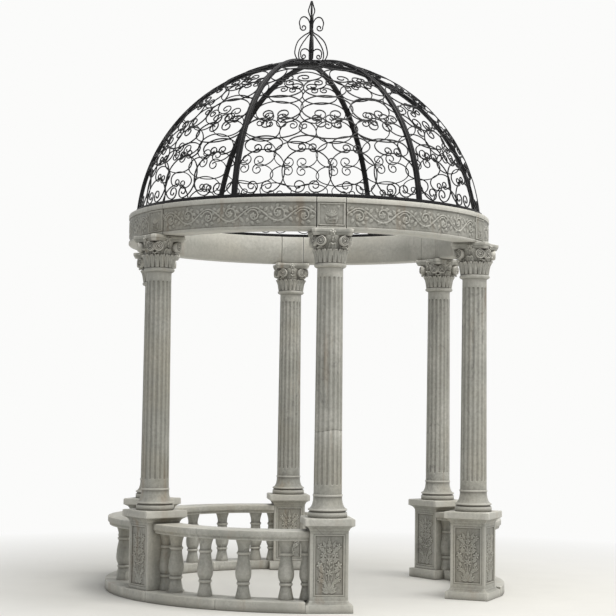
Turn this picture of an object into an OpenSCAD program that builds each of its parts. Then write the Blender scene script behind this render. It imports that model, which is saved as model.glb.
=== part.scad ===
// Garden gazebo: six carved marble columns on pedestals, a marble ring beam on their
// capitals, curved balustrades in four of the six bays and an open wrought iron dome.
// Millimetres, +Z up, origin on the ground at the middle of the plan.
// Angles on the plan are counted from -Y towards +X. Columns stand at 0, 60 ... 300
// degrees, and the bays between them are centred on 30, 90 ... 330 degrees.
// The entrance is the bay at 30. The bay at 150 has no balustrade either.

/* [Plan] */
// Radius of the circle that the column axes stand on
column_circle_r = 1500; // [1400:10:1800]
// How far the curb and the base stones reach outside that circle
curb_reach = 195; // [185:1:240]
// Width of the curb from outside to inside
curb_w = 270; // [200:2:320]

/* [Pedestals] */
// Height of a pedestal, from the ground to the top of its cap
pedestal_h = 704; // [600:2:850]
// How far a base slab or base stone stands out past each side of the die
slab_overhang = 35; // [20:1:45]
// Height of the square base slab of the two entrance pedestals
slab_h = 61; // [40:1:80]
// Height of the sloped moulding on that slab
slope_h = 34; // [20:1:50]
// Width of the square die between base and cap
die_w = 292; // [260:2:350]
// How far the cap slab stands out past each side of the die
cap_overhang = 43; // [30:1:55]
// How far the moulding under the cap stays back from the edge of the cap
cap_lip = 12; // [6:1:18]
// Bevel along the top edge of the cap
cap_bevel = 5; // [2:1:10]
// Thickness of the cap slab
cap_h = 56; // [40:1:70]
// Height of the hollow moulding under the cap slab
cap_mould_h = 35; // [20:1:45]
// Border left on either side of the sunk panel
panel_side = 39; // [30:1:60]
// Depth of the sunk panel
panel_depth = 8; // [4:1:12]
// Border left above and below the sunk panel
panel_border = 38; // [25:1:60]

/* [Columns] */
// Height of the turned column base
base_h = 176; // [140:2:210]
// Diameter of the disc under the column base
base_d = 300; // [280:2:320]
// Height of that disc
base_disc_h = 40; // [30:1:50]
// Depth of the groove between the two discs of the column base
base_groove = 11; // [6:1:20]
// How far the neck at the top of the column base stands out past the shaft
neck_reach = 5.5; // [3:0.5:10]
// Height of that neck
neck_h = 18; // [12:1:26]
// Length of the shaft
shaft_h = 1728; // [1400:4:2200]
// Diameter of the shaft at its foot
shaft_foot_d = 217; // [200:1:262]
// Diameter of the shaft at its head
shaft_head_d = 200; // [180:1:200]
// Number of flutes round the shaft
flute_count = 16; // [12:1:20]
// Diameter of the round cutter that makes a flute
flute_d = 26; // [16:1:30]
// Depth of a flute
flute_depth = 7; // [4:1:9]
// Plain band left on the shaft below and above the flutes
flute_margin = 70; // [40:1:120]

/* [Capitals] */
// Height of a capital
capital_h = 294; // [240:2:340]
// How far the ring at the foot of the capital stands out past the shaft
astragal_reach = 25; // [12:1:32]
// Height of that ring
astragal_h = 37; // [25:1:45]
// Diameter of the bell at its top
bell_d = 272; // [240:2:290]
// Width of the top slab of the capital
abacus_w = 328; // [300:2:350]
// Thickness of the top slab of the capital
abacus_h = 52; // [40:1:60]
// Depth of the hollow in each side of the top slab
abacus_hollow = 26; // [10:1:34]
// Diameter of the corner scrolls
volute_d = 74; // [50:2:84]
// Width of the corner scrolls
volute_w = 56; // [40:2:70]

/* [Ring beam] */
// Height of the ring beam
ring_h = 251; // [200:1:300]
// How far the ring beam reaches outside the circle of the columns
ring_reach = 52; // [40:2:80]
// Thickness of the ring beam from inside to outside
ring_t = 180; // [140:2:220]
// Width of the short blocks over the columns
block_w = 232; // [180:2:300]
// Height of the flat strip along the top of a frieze
cornice_h = 42; // [30:1:55]
// Height of the flat strip along the bottom of a frieze
fillet_h = 26; // [15:1:35]
// Depth of the field between the two strips
frieze_depth = 9; // [5:1:15]

/* [Balustrades] */
// Height of the curb
curb_h = 81; // [66:1:90]
// How far the top of the handrail lies below the top of the pedestals
rail_drop = 100; // [92:1:140]
// Thickness of the handrail
rail_h = 74; // [55:1:85]
// Width of the handrail
rail_w = 250; // [200:2:270]
// How far the handrail's outer edge stays back from the pedestal's outer face
rail_end_setback = 45; // [30:1:60]
// How far that edge stays back from the edge of the curb at mid bay
rail_setback = 15; // [5:1:40]
// Number of balusters in a bay
baluster_count = 4; // [3:1:4]
// Diameter of the flared foot and head of a baluster
baluster_foot_d = 118; // [100:1:124]
// Largest diameter of a baluster
baluster_d = 125; // [110:1:130]

/* [Dome] */
// How far the iron ring under the dome stays inside the circle of the columns
dome_inset = 22; // [0:1:60]
// Height of the flat iron ring under the dome
dome_ring_h = 35; // [25:1:50]
// Width of that ring
dome_ring_w = 46; // [36:1:60]
// How far the middle of the dome sphere lies below the top of the ring beam
dome_sink = 105; // [60:5:160]
// Width of a rib
rib_w = 45; // [30:1:56]
// Depth of a rib
rib_t = 34; // [20:1:44]
// Thickness of the bars of the scrollwork
scroll_bar = 13; // [10:1:18]
// Radius of the crown plate that the ribs meet
crown_r = 120; // [100:5:150]
// Thickness of the crown plate
crown_h = 48; // [44:1:60]
// How far the crown plate stands up past the ribs
crown_rise = 4; // [2:1:10]

/* [Finial] */
// Height of the finial above the crown plate
finial_h = 540; // [440:5:650]
// Diameter of the finial rod
finial_rod_d = 25; // [18:1:30]
// Thickness of the bent bars of the finial
finial_bar = 11; // [8:1:14]
// Half width of the cage at its foot
cage_foot = 108; // [80:2:110]
// Half width of the cage at its widest
cage_r = 146; // [120:2:160]

/* [Hidden] */

$fn = 240;
step = 60;
half_step = step / 2;
// Bays that carry a balustrade, and the bay that is the entrance
rail_bays = [90, 210, 270, 330];
entrance = 30;
marble = "#cfccc2";
iron = "#1c1c1e";

curb_outer_r = column_circle_r + curb_reach;
curb_inner_r = curb_outer_r - curb_w;
slab_w = die_w + 2 * slab_overhang;
cap_w = die_w + 2 * cap_overhang;
under_cap = pedestal_h - cap_h - cap_mould_h;
panel_w = die_w - 2 * panel_side;
base_neck_d = shaft_foot_d + 2 * neck_reach;
astragal_d = shaft_head_d + 2 * astragal_reach;
column_z = pedestal_h;
shaft_z = column_z + base_h;
capital_z = shaft_z + shaft_h;
ring_z = capital_z + capital_h;
ring_top = ring_z + ring_h;
ring_outer_r = column_circle_r + ring_reach;
ring_inner_r = ring_outer_r - ring_t;
dome_r = column_circle_r - dome_inset;
dome_z = ring_top - dome_sink;
dome_foot = ring_top + dome_ring_h;
crown_top = dome_z + dome_r + rib_t / 2 + crown_rise;
rail_top = pedestal_h - rail_drop;
baluster_h = rail_top - rail_h - curb_h;
big = 2 * curb_outer_r;
// Distance by which a cutter passes the face that it starts from
past = 1;

// The handrail's outer edge is an arc through mid bay and the sides of both pedestals
rail_reach = curb_outer_r - rail_setback;
rail_end_r = column_circle_r + die_w / 2 - rail_end_setback;
rail_end_x = rail_end_r * sin(half_step) - die_w / 2 * cos(half_step);
rail_bow = rail_reach - rail_end_r * cos(half_step) - die_w / 2 * sin(half_step);
rail_bend_r = (rail_end_x ^ 2 + rail_bow ^ 2) / (2 * rail_bow);
rail_centre = rail_reach - rail_bend_r;
row_r = rail_bend_r - rail_w / 2;

// Puts its children at one angle and radius of the plan, with -Y pointing outwards
module at(angle, radius) {
    rotate([0, 0, angle])
        translate([0, -radius, 0])
            children();
}

// A sector of the plan round the -Y direction, one step wide, pulled back from both sides
module sector(inset, height) {
    reach = 2 * big;
    linear_extrude(height)
        polygon([
            [0, -inset / sin(half_step)],
            [reach * sin(half_step), -inset / sin(half_step) - reach * cos(half_step)],
            [-reach * sin(half_step), -inset / sin(half_step) - reach * cos(half_step)]
        ]);
}

// A square block whose four sides all follow one moulded outline of [half width, height]
module moulded_block(outline) {
    left = [for (i = [len(outline) - 1:-1:0]) [-outline[i][0], outline[i][1]]];
    intersection() {
        rotate([90, 0, 0])
            linear_extrude(big, center = true) polygon(concat(outline, left));
        rotate([90, 0, 90])
            linear_extrude(big, center = true) polygon(concat(outline, left));
    }
}

// Points that ease from one [height, radius] station to the next, as a turned profile does
function turned(stations, steps) = [
    for (i = [0:len(stations) - 2], s = [0:steps - 1])
        let (t = s / steps, ease = (1 - cos(180 * t)) / 2)
        [stations[i][1] + (stations[i + 1][1] - stations[i][1]) * ease,
         stations[i][0] + (stations[i + 1][0] - stations[i][0]) * t],
    [stations[len(stations) - 1][1], stations[len(stations) - 1][0]]
];

// ---- Pedestals ----

module pedestal_body(foot) {
    moulded_block(concat(foot, [
        [die_w / 2, under_cap],
        [die_w / 2 + (cap_overhang - cap_lip) / 3, under_cap + cap_mould_h / 2],
        [cap_w / 2 - cap_lip, pedestal_h - cap_h],
        [cap_w / 2, pedestal_h - cap_h],
        [cap_w / 2, pedestal_h - cap_bevel],
        [cap_w / 2 - cap_bevel, pedestal_h]
    ]));
}

// The sunk panel of one carved face, facing -Y
module panel_cut(foot_z) {
    low = foot_z + panel_border;
    high = under_cap - panel_border;
    translate([-panel_w / 2, -die_w / 2 - past, low])
        cube([panel_w, panel_depth + past, high - low]);
}

module pedestal(angle) {
    by_entrance = abs(angle - entrance) == half_step;
    foot_z = by_entrance ? slab_h + slope_h : curb_h;
    foot = by_entrance
        ? [[slab_w / 2, 0], [slab_w / 2, slab_h], [die_w / 2, foot_z]]
        : [[die_w / 2, foot_z]];
    open_side = angle < entrance ? 90 : -90;
    color(marble) at(angle, column_circle_r) {
        difference() {
            pedestal_body(foot);
            panel_cut(foot_z);
            rotate([0, 0, 180]) panel_cut(foot_z);
            if (by_entrance) rotate([0, 0, open_side]) panel_cut(foot_z);
        }
        for (side = [-1, 1])
            if (!(by_entrance && side * 90 == open_side))
                half_baluster(side);
    }
}

// The curved base stones under the four pedestals that stand in line with the curb
module base_stones() {
    color(marble)
        for (angle = [120:step:300])
            rotate([0, 0, angle])
                intersection() {
                    cylinder(h = curb_h, r = curb_outer_r);
                    translate([-slab_w / 2, -big, 0])
                        cube([slab_w, big - column_circle_r + slab_w / 2, curb_h]);
                }
}

// ---- Balustrades ----

// Baluster stations: height as a share of the whole, and radius
function baluster_profile() = turned([
    [0, baluster_foot_d / 2],
    [0.07 * baluster_h, baluster_foot_d / 2 - 3],
    [0.24 * baluster_h, baluster_d * 0.31],
    [0.28 * baluster_h, baluster_d * 0.41],
    [0.42 * baluster_h, baluster_d / 2],
    [0.72 * baluster_h, baluster_d * 0.36],
    [0.78 * baluster_h, baluster_d * 0.44],
    [0.82 * baluster_h, baluster_d * 0.35],
    [baluster_h, baluster_foot_d / 2]
], 3);

module baluster() {
    translate([0, 0, curb_h])
        rotate_extrude()
            polygon(concat([[0, 0]], baluster_profile(), [[0, baluster_h]]));
}

// Where the baluster row meets the side of a pedestal, measured from the gazebo's axis
row_end_k = rail_centre * sin(half_step) - die_w / 2;
row_end_r = rail_centre * cos(half_step) + sqrt(row_r ^ 2 - row_end_k ^ 2);

// A baluster cut in half by the side of the die, and let into the die a little
module half_baluster(side) {
    let_in = 20;
    intersection() {
        translate([side * die_w / 2, column_circle_r - row_end_r, 0]) baluster();
        translate([side * die_w / 2 - (side < 0 ? baluster_d : let_in), -die_w, 0])
            cube([baluster_d + let_in, 2 * die_w, pedestal_h]);
    }
}

// The angle that the baluster row covers, seen from the centre of the handrail's bend
row_half = half_step + asin(row_end_k / row_r);

module balusters(bay) {
    pitch = 2 * row_half / baluster_count;
    color(marble)
        rotate([0, 0, bay])
            translate([0, -rail_centre, 0])
                for (i = [0:baluster_count - 1])
                    rotate([0, 0, (i + 0.5) * pitch - row_half])
                        translate([0, -row_r, 0])
                            baluster();
}

module curb(bay) {
    color(marble)
        rotate([0, 0, bay])
            intersection() {
                difference() {
                    cylinder(h = curb_h, r = curb_outer_r);
                    translate([0, 0, -past]) cylinder(h = curb_h + 2 * past, r = curb_inner_r);
                }
                translate([0, 0, -past]) sector(slab_w / 2, curb_h + 2 * past);
            }
}

module handrail(bay) {
    color(marble)
        rotate([0, 0, bay])
            intersection() {
                translate([0, -rail_centre, rail_top - rail_h])
                    difference() {
                        cylinder(h = rail_h, r = rail_bend_r);
                        translate([0, 0, -past])
                            cylinder(h = rail_h + 2 * past, r = rail_bend_r - rail_w);
                    }
                sector(die_w / 2, pedestal_h);
            }
}

// ---- Columns ----

module column(angle) {
    edge = base_d / 2;
    groove = edge - base_groove;
    lip = 3;
    upper_disc_z = base_disc_h + 14;
    scotia_z = base_disc_h + 26;
    neck_z = base_h - neck_h;
    scotia = [for (t = [0:15:90])
        [edge - lip - (edge - lip - base_neck_d / 2 + lip + 1) * sin(t),
         scotia_z + (neck_z - scotia_z) * (1 - cos(t))]];
    outline = concat(
        [[0, 0], [edge, 0], [edge, base_disc_h], [groove, base_disc_h + lip],
         [groove, upper_disc_z - lip - 1], [edge, upper_disc_z], [edge, scotia_z - lip - 1]],
        scotia,
        [[base_neck_d / 2, neck_z], [base_neck_d / 2, base_h],
         [shaft_foot_d / 2, base_h], [shaft_head_d / 2, base_h + shaft_h],
         [0, base_h + shaft_h]]
    );
    color(marble)
        at(angle, column_circle_r)
            translate([0, 0, column_z])
                difference() {
                    rotate_extrude() polygon(outline);
                    for (i = [0:flute_count - 1])
                        rotate([0, 0, (i + 0.5) * 360 / flute_count]) flute();
                }
}

// One flute: a leaning round cutter that keeps its depth as the shaft narrows
module flute() {
    lean = atan((shaft_foot_d - shaft_head_d) / 2 / shaft_h);
    length = shaft_h - 2 * flute_margin;
    start_r = shaft_foot_d / 2 - flute_margin * tan(lean) + flute_d / 2 - flute_depth;
    translate([0, -start_r, base_h + flute_margin])
        rotate([-lean, 0, 0])
            cylinder(h = length / cos(lean), d = flute_d, $fn = 24);
}

// ---- Capitals ----

module capital(angle) {
    bell_top = capital_h - abacus_h;
    bell = turned([
        [0, shaft_head_d / 2],
        [astragal_h / 2, astragal_d / 2],
        [astragal_h, shaft_head_d / 2 + 4],
        [bell_top * 0.55, shaft_head_d / 2 + 10],
        [bell_top, bell_d / 2]
    ], 4);
    hollow_r = abacus_w * 0.9;
    color(marble)
        at(angle, column_circle_r)
            translate([0, 0, capital_z]) {
                rotate_extrude() polygon(concat([[0, 0]], bell, [[0, bell_top]]));
                translate([0, 0, bell_top])
                    intersection() {
                        difference() {
                            translate([-abacus_w / 2, -abacus_w / 2, 0])
                                cube([abacus_w, abacus_w, abacus_h]);
                            for (side = [0:90:270])
                                rotate([0, 0, side])
                                    translate([0, -abacus_w / 2 + abacus_hollow - hollow_r, -1])
                                        cylinder(h = abacus_h + 2, r = hollow_r);
                        }
                        rotate([0, 0, 45])
                            translate([-abacus_w * 0.63, -abacus_w * 0.63, -1])
                                cube([abacus_w * 1.26, abacus_w * 1.26, abacus_h + 2]);
                    }
                for (corner = [45:90:315])
                    rotate([0, 0, corner])
                        translate([0, -bell_d / 2 - 22, bell_top - volute_d / 2 + 6])
                            rotate([0, 90, 0])
                                cylinder(h = volute_w, d = volute_d, center = true, $fn = 32);
            }
}

// ---- Ring beam ----

block_half = asin(block_w / 2 / ring_outer_r);

module ring_arc(outline, from, to) {
    rotate([0, 0, from - 90])
        translate([0, 0, ring_z])
            rotate_extrude(angle = to - from) polygon(outline);
}

module ring_blocks() {
    outline = [[ring_inner_r, 0], [ring_outer_r, 0], [ring_outer_r, ring_h], [ring_inner_r, ring_h]];
    color(marble)
        for (angle = [0:step:300])
            ring_arc(outline, angle - block_half, angle + block_half);
}

module frieze(bay) {
    sunk = ring_outer_r - frieze_depth;
    outline = [
        [ring_inner_r, 0], [ring_outer_r, 0], [ring_outer_r, fillet_h - 4], [sunk, fillet_h],
        [sunk, ring_h - cornice_h], [ring_outer_r, ring_h - cornice_h + 4],
        [ring_outer_r, ring_h], [ring_inner_r, ring_h]
    ];
    color(marble) ring_arc(outline, bay - half_step + block_half, bay + half_step - block_half);
}

// ---- Iron dome ----

module dome_ring() {
    color(iron)
        translate([0, 0, ring_top])
            rotate_extrude()
                translate([dome_r - dome_ring_w / 2, 0])
                    square([dome_ring_w, dome_ring_h]);
}

// The twelve-sided column of space that the crown plate fills
module crown_space(height) {
    rotate([0, 0, 15]) cylinder(h = height, r = crown_r, $fn = 12);
}

module dome_ribs() {
    color(iron)
        for (bay = [half_step:step:360])
            rotate([0, 0, bay - 90])
                difference() {
                    translate([0, 0, dome_z])
                        rotate([90, 0, 0])
                            rotate_extrude(angle = 90)
                                translate([dome_r - rib_t / 2, -rib_w / 2])
                                    square([rib_t, rib_w]);
                    translate([0, 0, dome_foot - big]) cylinder(h = big, r = big, $fn = 12);
                    crown_space(2 * big);
                }
}

// Hoops of scrollwork across one gore, row by row from the foot of the dome
scroll_rows = [4, 4, 3, 3, 2, 2, 1];
// Gap that keeps neighbouring hoops apart
scroll_gap = 0.3;

// Half the angle that a hoop covers, in a row of so many hoops at an elevation
function hoop_half(elevation, count) = asin(cos(elevation) * sin(half_step / count));

// Elevation of a row that stands on the angle below it, found by repeated steps
function row_elevation(below, count, elevation, tries = 12) =
    tries == 0 ? elevation
    : row_elevation(below, count, below + hoop_half(elevation, count), tries - 1);

// Elevation of each row, where every row stands on the one before it
function row_elevations(below, i = 0) =
    i == len(scroll_rows) ? []
    : let (e = row_elevation(below, scroll_rows[i], below))
      concat([e], row_elevations(e + hoop_half(e, scroll_rows[i]), i + 1));

// A twelve-sided hoop lying on the dome. A corner next to its side flat is what comes
// nearest to the neighbour in its row, because the rows lean towards the crown.
module hoop(elevation, angle, count) {
    half = hoop_half(elevation, count);
    lean = atan(tan(half_step / count) * sin(elevation));
    depth = dome_r * cos(half) - scroll_bar / 2;
    outer = (depth * tan(half) - scroll_gap / 2) / cos(15 - lean);
    rotate([0, 0, angle])
        rotate([90 - elevation, 0, 0])
            translate([0, 0, depth])
                rotate([0, 0, 15])
                    difference() {
                        cylinder(h = scroll_bar, r = outer, $fn = 12);
                        translate([0, 0, -past])
                            cylinder(h = scroll_bar + 2 * past, r = outer - scroll_bar, $fn = 12);
                    }
}

module dome_scrolls(angle) {
    elevations = row_elevations(asin((dome_foot - dome_z) / dome_r));
    color(iron)
        rotate([0, 0, angle])
            difference() {
                intersection() {
                    translate([0, 0, dome_z])
                        for (row = [0:len(scroll_rows) - 1], i = [0:scroll_rows[row] - 1])
                            hoop(elevations[row],
                                 (i + 0.5 - scroll_rows[row] / 2) * step / scroll_rows[row],
                                 scroll_rows[row]);
                    translate([0, 0, dome_foot]) sector(rib_w / 2, big);
                }
                crown_space(2 * big);
            }
}

module dome_crown() {
    color(iron) translate([0, 0, crown_top - crown_h]) crown_space(crown_h);
}

// ---- Finial ----

// A bar bent along turned stations, drawn on both sides of the finial's middle
module bent_bars(stations) {
    line = turned(stations, 6);
    outer = [for (p = line) [p[0] + finial_bar / 2, p[1]]];
    inner = [for (i = [len(line) - 1:-1:0]) [line[i][0] - finial_bar / 2, line[i][1]]];
    for (side = [0, 1])
        mirror([side, 0]) polygon(concat(outer, inner));
}

module curl(x, z, r) {
    for (side = [-1, 1])
        translate([side * x, z])
            difference() {
                circle(r = r, $fn = 24);
                circle(r = r - finial_bar * 0.8, $fn = 24);
            }
}

module finial() {
    share = finial_h / 540;
    rod = finial_rod_d / 2;
    tip = 150 * share;
    color(iron)
        translate([0, 0, crown_top]) {
            cylinder(h = finial_h - tip + 10, r = rod);
            for (turn = [0, 90])
                rotate([0, 0, turn])
                    rotate([90, 0, 0])
                        linear_extrude(finial_bar, center = true) {
                            bent_bars([[0, cage_foot], [90 * share, cage_r], [265 * share, rod]]);
                            curl(48, 46, 38);
                            curl(44, 330 * share, 34);
                            bent_bars([[finial_h - tip, 2], [finial_h - tip * 0.6, 24],
                                       [finial_h, finial_bar / 2]]);
                        }
        }
}

for (i = [1:6]) {
    angle = (i - 1) * step;
    pedestal(angle);
    column(angle);
    capital(angle);
    frieze(angle + half_step);
    dome_scrolls(angle);
}
for (i = [1:4]) {
    bay = rail_bays[i - 1];
    curb(bay);
    balusters(bay);
    handrail(bay);
}
base_stones();
ring_blocks();
dome_ring();
dome_ribs();
dome_crown();
finial();
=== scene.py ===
import math
import bmesh
import bpy
import numpy as np
from mathutils import Matrix, Vector


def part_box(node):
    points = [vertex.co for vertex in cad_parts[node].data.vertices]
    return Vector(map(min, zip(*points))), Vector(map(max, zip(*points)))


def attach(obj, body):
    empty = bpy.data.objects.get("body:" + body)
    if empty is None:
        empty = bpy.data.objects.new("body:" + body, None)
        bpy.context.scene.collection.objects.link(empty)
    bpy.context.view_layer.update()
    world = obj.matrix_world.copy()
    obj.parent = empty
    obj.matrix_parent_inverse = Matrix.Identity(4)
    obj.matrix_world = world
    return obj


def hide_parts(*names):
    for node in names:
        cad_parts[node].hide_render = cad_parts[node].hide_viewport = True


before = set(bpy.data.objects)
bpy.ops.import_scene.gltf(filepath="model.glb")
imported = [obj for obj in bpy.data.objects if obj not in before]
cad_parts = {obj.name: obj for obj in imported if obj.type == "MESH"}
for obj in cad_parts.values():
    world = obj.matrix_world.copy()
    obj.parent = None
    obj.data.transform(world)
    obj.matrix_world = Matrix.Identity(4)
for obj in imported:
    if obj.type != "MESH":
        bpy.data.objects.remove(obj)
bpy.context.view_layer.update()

# ---- Base stones and curbs ----
# Curved slabs of honed marble laid on the ground: one stone under each of four pedestals
# and a curb between them in every bay that carries a balustrade. The arrises are rubbed
# round, and each curb is two stones that meet at a joint in the middle of the bay.

COLUMN_CIRCLE = 1500.0
CURB_REACH = 195.0
CURB_WIDTH = 270.0
CURB_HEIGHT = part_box("curb_1")[1].z * 1000
RUBBED_EDGE = 7.0
JOINT_WIDTH = 3.0
HALF_STONE = 181.0
RAIL_BAYS = (90, 210, 270, 330)
MITRED_STONES = (120, 180, 240, 300)


def linear(code):
    """An sRGB hex colour as the linear colour that a shader takes."""
    parts = [int(code[i:i + 2], 16) / 255 for i in (1, 3, 5)]
    return [p / 12.92 if p <= 0.04045 else ((p + 0.055) / 1.055) ** 2.4 for p in parts] + [1]


def add(tree, kind, feed=(), **settings):
    """One node with its settings, its input values and its input links. The inputs are
    given by name or number, or as a list in the node's own order. A node given as an
    input stands for its first output."""
    node = tree.nodes.new(kind)
    for name, value in settings.items():
        setattr(node, name, value)
    for name, value in feed.items() if isinstance(feed, dict) else enumerate(feed):
        if isinstance(value, bpy.types.Node):
            value = value.outputs[0]
        if isinstance(value, bpy.types.NodeSocket):
            tree.links.new(value, node.inputs[name])
        else:
            node.inputs[name].default_value = value
    return node


def new_finish(name):
    """An empty material and its tree."""
    finish = bpy.data.materials.new(name)
    finish.use_nodes = True
    finish.node_tree.nodes.clear()
    return finish, finish.node_tree


def lay_coats(tree, ground, coats):
    """Colours laid one over another. A coat names what places it, the two values between
    which it changes, its strength at both, and its colour."""
    for source, start, full, at_start, at_full, colour in coats:
        share = add(tree, "ShaderNodeMapRange", [source, start, full, at_start, at_full])
        ground = add(tree, "ShaderNodeMix", {0: share, 6: ground, 7: linear(colour)},
                     data_type="RGBA").outputs[2]
    return ground


def weathered_marble():
    """Honed grey-white marble left outdoors: cloudy greys and warm patches, thin dark
    veins, brown water stains, painted shade (partly dirt) in the hollows and close to
    other stone, and a painted highlight (partly rubbed wear) on edges and ridges."""
    finish, tree = new_finish("weathered_marble")
    where = add(tree, "ShaderNodeTexCoord").outputs["Object"]
    slanted = add(tree, "ShaderNodeMapping", {
        "Vector": where, "Rotation": (0.5, 0.6, 0.2), "Scale": (1.0, 1.0, 0.55)})
    upright = add(tree, "ShaderNodeMapping", {
        "Vector": where, "Scale": (7.0, 7.0, 1.1)})
    # Clouds, warm patches and grain, a slow noise for the veins, one stretched along the
    # height for water stains, and pitting 4 to 8 mm apart
    cloud, warmth, grain, bent, run, pits = (
        add(tree, "ShaderNodeTexNoise", {
            "Vector": place, "Scale": scale, "Detail": detail, "Roughness": rough,
            "Distortion": distortion}).outputs["Fac"]
        for place, scale, detail, rough, distortion in (
            (where, 2.6, 6.0, 0.6, 0.0), (where, 1.3, 3.0, 0.5, 0.6),
            (where, 38.0, 8.0, 0.7, 0.0), (slanted, 2.1, 5.0, 0.55, 1.1),
            (upright, 1.0, 5.0, 0.62, 0.0), (where, 150.0, 5.0, 0.65, 0.0)))
    # Veins are the thin lines where their noise passes its middle value
    off = add(tree, "ShaderNodeMath", [bent, 0.5], operation="SUBTRACT")
    line = add(tree, "ShaderNodeMath", [off], operation="ABSOLUTE")
    thin = add(tree, "ShaderNodeMapRange", [line, 0.0, 0.014, 1.0, 0.0])
    faint = add(tree, "ShaderNodeMapRange", [warmth, 0.42, 0.6, 0.5, 0.05])
    vein = add(tree, "ShaderNodeMath", [thin, faint], operation="MULTIPLY")
    hollow = add(tree, "ShaderNodeAttribute", attribute_name="hollow").outputs["Fac"]
    # Painted shade, partly soot and algae: darker wherever other stone lies within 50 mm, as in
    # corners and under overhangs
    occlusion_shade_and_grime = add(tree, "ShaderNodeAmbientOcclusion", {"Distance": 0.05}, samples=6)
    stone = lay_coats(tree, linear("#A4A49D"), (
        (cloud, 0.36, 0.66, 0.0, 1.0, "#C4C3BC"),
        (warmth, 0.5, 0.68, 0.0, 0.5, "#AFA896"),
        (grain, 0.38, 0.60, 0.5, 0.0, "#85847C"),
        (vein, 0.0, 1.0, 0.0, 1.0, "#6E6E6B"),
        (run, 0.57, 0.75, 0.0, 0.6, "#8C7355"),
        (run, 0.42, 0.26, 0.0, 0.5, "#86857C"),
        # Painted shade, partly dirt, darkens the hollows and sunk ground; a painted highlight,
        # partly rubbed wear, lightens ridges and arrises
        (hollow, 0.015, 0.22, 0.0, 0.85, "#55514A"),
        (hollow, -0.03, -0.22, 0.0, 0.7, "#D9D7CF"),
        # Painted shade, partly grime: colour darkened where the AO node finds stone close by
        (occlusion_shade_and_grime.outputs["AO"], 0.95, 0.35, 0.0, 0.72, "#4F4B40")))
    sheen = add(tree, "ShaderNodeMapRange", [grain, 0.3, 0.7, 0.5, 0.72])
    bump = add(tree, "ShaderNodeBump", {"Strength": 0.35, "Distance": 0.0012, "Height": pits})
    shader = add(tree, "ShaderNodeBsdfPrincipled", {
        "Base Color": stone, "Roughness": sheen, "Normal": bump})
    add(tree, "ShaderNodeOutputMaterial", {"Surface": shader})
    return finish


marble = weathered_marble()


def note_hollows(mesh, sunk_shade_and_dirt):
    """Stores how hollow (+) or ridged (-) the surface is at each point, for painted shade
    (partly dirt) and a painted highlight (partly wear), with the painted shade of the sunk
    ground added."""
    count = len(mesh.vertices)
    place = np.empty(count * 3)
    mesh.vertices.foreach_get("co", place)
    place = place.reshape(-1, 3)
    normal = np.empty(count * 3)
    mesh.vertex_normals.foreach_get("vector", normal)
    normal = normal.reshape(-1, 3)
    ends = np.empty(len(mesh.edges) * 2, dtype=np.int32)
    mesh.edges.foreach_get("vertices", ends)
    a, b = ends.reshape(-1, 2).T
    way = place[b] - place[a]
    way /= np.maximum(np.linalg.norm(way, axis=1, keepdims=True), 1e-9)
    rise = (np.bincount(a, (normal[a] * way).sum(1), count)
            - np.bincount(b, (normal[b] * way).sum(1), count))
    links = np.maximum(np.bincount(a, minlength=count) + np.bincount(b, minlength=count), 1)
    rise = rise / links
    for _ in range(2):
        spread = np.bincount(a, rise[b], count) + np.bincount(b, rise[a], count)
        rise = 0.5 * rise + 0.5 * spread / links
    mesh.attributes.new("hollow", "FLOAT", "POINT").data.foreach_set("value", rise + sunk_shade_and_dirt)


def skin(rings, ends=True):
    """Closed rings of points joined row to row, as points and faces."""
    rings = np.asarray(rings, float)
    rows, columns = rings.shape[:2]
    index = np.arange(rows * columns).reshape(rows, columns)
    low = index[:-1]
    high = index[1:]
    faces = np.stack([low, np.roll(low, -1, 1), np.roll(high, -1, 1), high], -1)
    faces = faces.reshape(-1, 4).tolist()
    if ends:
        faces += [index[0, ::-1].tolist(), index[-1].tolist()]
    return rings.reshape(-1, 3), faces


def turn(points, angle, radius=0.0):
    """Turns points about the vertical, first moved out along -Y by a radius."""
    points = np.array(points, float)
    points[..., 1] -= radius
    c = math.cos(math.radians(angle))
    s = math.sin(math.radians(angle))
    x = points[..., 0] * c - points[..., 1] * s
    y = points[..., 0] * s + points[..., 1] * c
    return np.stack([x, y, points[..., 2]], -1)


def plain_mesh(name, points, faces):
    """A mesh in metres from points in millimetres."""
    mesh = bpy.data.meshes.new(name)
    mesh.from_pydata((np.asarray(points) / 1000).tolist(), [], faces)
    return mesh


def finish_mesh(name, mesh, node, sharp=38, sunk_shade_and_dirt=0.0):
    """One object from a mesh, its faces turned outwards, hung under the root body with its CAD part
    hidden.
    """
    work = bmesh.new()
    work.from_mesh(mesh)
    bmesh.ops.recalc_face_normals(work, faces=work.faces)
    work.to_mesh(mesh)
    work.free()
    mesh.shade_smooth()
    mesh.set_sharp_from_angle(angle=math.radians(sharp))
    note_hollows(mesh, sunk_shade_and_dirt)
    piece = bpy.data.objects.new(name, mesh)
    bpy.context.collection.objects.link(piece)
    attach(piece, "root")
    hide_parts(node)


def finish_piece(name, shells, finish, node, sharp=38):
    """One object from closed shells given in millimetres. A shell may carry a third part:
    how much painted shade, partly dirt, darkens each of its points."""
    points = []
    faces = []
    sunk_shade_and_dirt = []
    base = 0
    for shell_points, shell_faces, *shell_shade_and_dirt in shells:
        points.append(shell_points)
        faces += [[i + base for i in face] for face in shell_faces]
        sunk_shade_and_dirt.append(shell_shade_and_dirt[0] if shell_shade_and_dirt else np.zeros(len(shell_points)))
        base += len(shell_points)
    mesh = plain_mesh(name, np.concatenate(points), faces)
    mesh.materials.append(finish)
    finish_mesh(name, mesh, node, sharp, np.concatenate(sunk_shade_and_dirt))


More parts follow.
